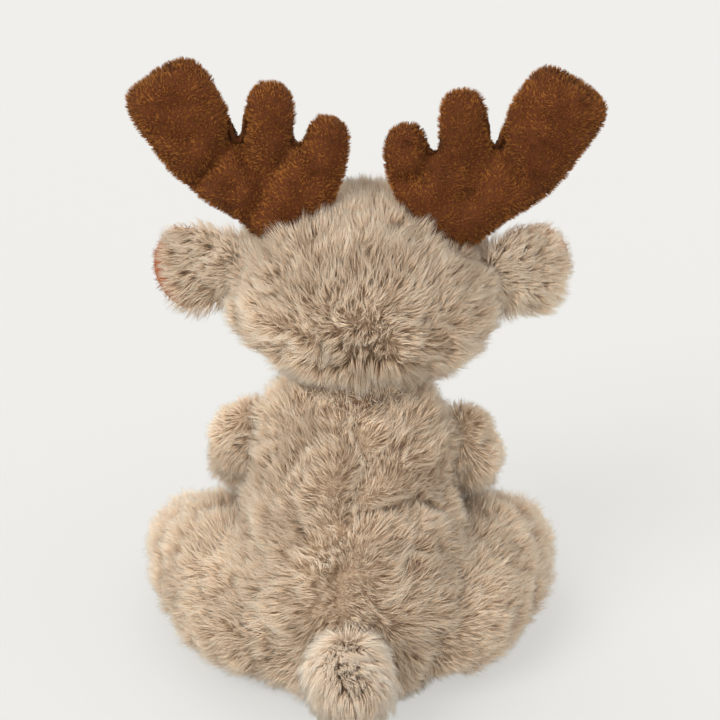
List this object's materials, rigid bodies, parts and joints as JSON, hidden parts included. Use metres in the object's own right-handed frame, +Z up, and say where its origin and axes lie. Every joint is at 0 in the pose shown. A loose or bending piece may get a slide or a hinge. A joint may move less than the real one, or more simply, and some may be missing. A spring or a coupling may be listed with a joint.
{
  "type": "plush deer",
  "caption": "Seated plush deer with long-pile body and limbs, short-pile palmate antlers, lined ears, a soft muzzle and padded feet; head, ears, antlers, limbs and tail bend at soft roots.",
  "frame": {"origin": "middle of the flat that the seat is pressed to, on the surface it sits on", "axes": "+Z up, the deer faces -Y and its left side is +X"},
  "size_m": [0.1824, 0.194, 0.2511],
  "materials": {
    "fur": "long pile",
    "pale_fur": "long pile",
    "antler_cloth": "short pile",
    "rust_cloth": "short pile",
    "stuffing": "polyester fibre",
    "pellet_cloth": "woven",
    "eye": "gloss",
    "washer": "matte"
  },
  "bodies": {
    "torso": {"torso_cover": "fur", "torso_filling": "stuffing", "bean_bag": "pellet_cloth"},
    "neck": {"neck_filling": "stuffing"},
    "head": {"head_cover": "fur", "head_filling": "stuffing", "muzzle_cover": "pale_fur", "muzzle_filling": "stuffing", "nose": "antler_cloth", "eye_left": "eye", "eye_right": "eye", "eye_washer_left": "washer", "eye_washer_right": "washer"},
    "tail": {"tail": "pale_fur"},
    "ear_left": {"ear_left": "fur", "ear_lining_left": "rust_cloth"},
    "antler_left": {"antler_left": "antler_cloth", "antler_filling_left": "stuffing"},
    "arm_left": {"arm_left": "fur", "arm_filling_left": "stuffing", "paw_pad_left": "antler_cloth"},
    "leg_left": {"leg_left": "fur", "leg_filling_left": "stuffing", "sole_left": "antler_cloth"},
    "ear_right": {"ear_right": "fur", "ear_lining_right": "rust_cloth"},
    "antler_right": {"antler_right": "antler_cloth", "antler_filling_right": "stuffing"},
    "arm_right": {"arm_right": "fur", "arm_filling_right": "stuffing", "paw_pad_right": "antler_cloth"},
    "leg_right": {"leg_right": "fur", "leg_filling_right": "stuffing", "sole_right": "antler_cloth"}
  },
  "joints": [
    {"name": "neck_turn", "type": "hinge", "parent": "torso", "child": "neck", "pos_m": [-0.0035, -0.014, 0.126], "axis": [0, 0, 1], "range_deg": [-20, 20], "stiffness_Nm_per_rad": 0.6},
    {"name": "head_nod", "type": "hinge", "parent": "neck", "child": "head", "pos_m": [-0.0035, -0.014, 0.126], "axis": [-1, 0, 0], "range_deg": [-8, 8], "stiffness_Nm_per_rad": 0.8},
    {"name": "tail_lift", "type": "hinge", "parent": "torso", "child": "tail", "pos_m": [-0.00007, 0.05012, 0.0325], "axis": [1, 0, 0], "range_deg": [-8, 12], "stiffness_Nm_per_rad": 0.08},
    {"name": "ear_left_flop", "type": "hinge", "parent": "head", "child": "ear_left", "pos_m": [0.04291, -0.02387, 0.16708], "axis": [0, -1, 0], "range_deg": [-20, 12], "stiffness_Nm_per_rad": 0.06},
    {"name": "antler_left_bend", "type": "hinge", "parent": "head", "child": "antler_left", "pos_m": [0.02428, -0.01947, 0.18516], "axis": [0.9986, 0, 0.0523], "range_deg": [-12, 12], "stiffness_Nm_per_rad": 0.2},
    {"name": "arm_left_lift", "type": "hinge", "parent": "torso", "child": "arm_left", "pos_m": [0.03285, -0.0166, 0.1004], "axis": [-1, 0, 0], "range_deg": [0, 35], "stiffness_Nm_per_rad": 0.25},
    {"name": "leg_left_splay", "type": "hinge", "parent": "torso", "child": "leg_left", "pos_m": [0.04372, -0.00828, 0.0288], "axis": [0, 0, 1], "range_deg": [-8, 15], "stiffness_Nm_per_rad": 0.8},
    {"name": "ear_right_flop", "type": "hinge", "parent": "head", "child": "ear_right", "pos_m": [-0.05395, -0.02387, 0.162], "axis": [0, 1, 0], "range_deg": [-20, 12], "stiffness_Nm_per_rad": 0.06},
    {"name": "antler_right_bend", "type": "hinge", "parent": "head", "child": "antler_right", "pos_m": [-0.03731, -0.01947, 0.18193], "axis": [0.9986, 0, 0.0523], "range_deg": [-12, 12], "stiffness_Nm_per_rad": 0.2},
    {"name": "arm_right_lift", "type": "hinge", "parent": "torso", "child": "arm_right", "pos_m": [-0.03727, -0.01612, 0.09754], "axis": [-1, 0, 0], "range_deg": [0, 35], "stiffness_Nm_per_rad": 0.25},
    {"name": "leg_right_splay", "type": "hinge", "parent": "torso", "child": "leg_right", "pos_m": [-0.04386, -0.00827, 0.02833], "axis": [0, 0, -1], "range_deg": [-8, 15], "stiffness_Nm_per_rad": 0.8}
  ]
}
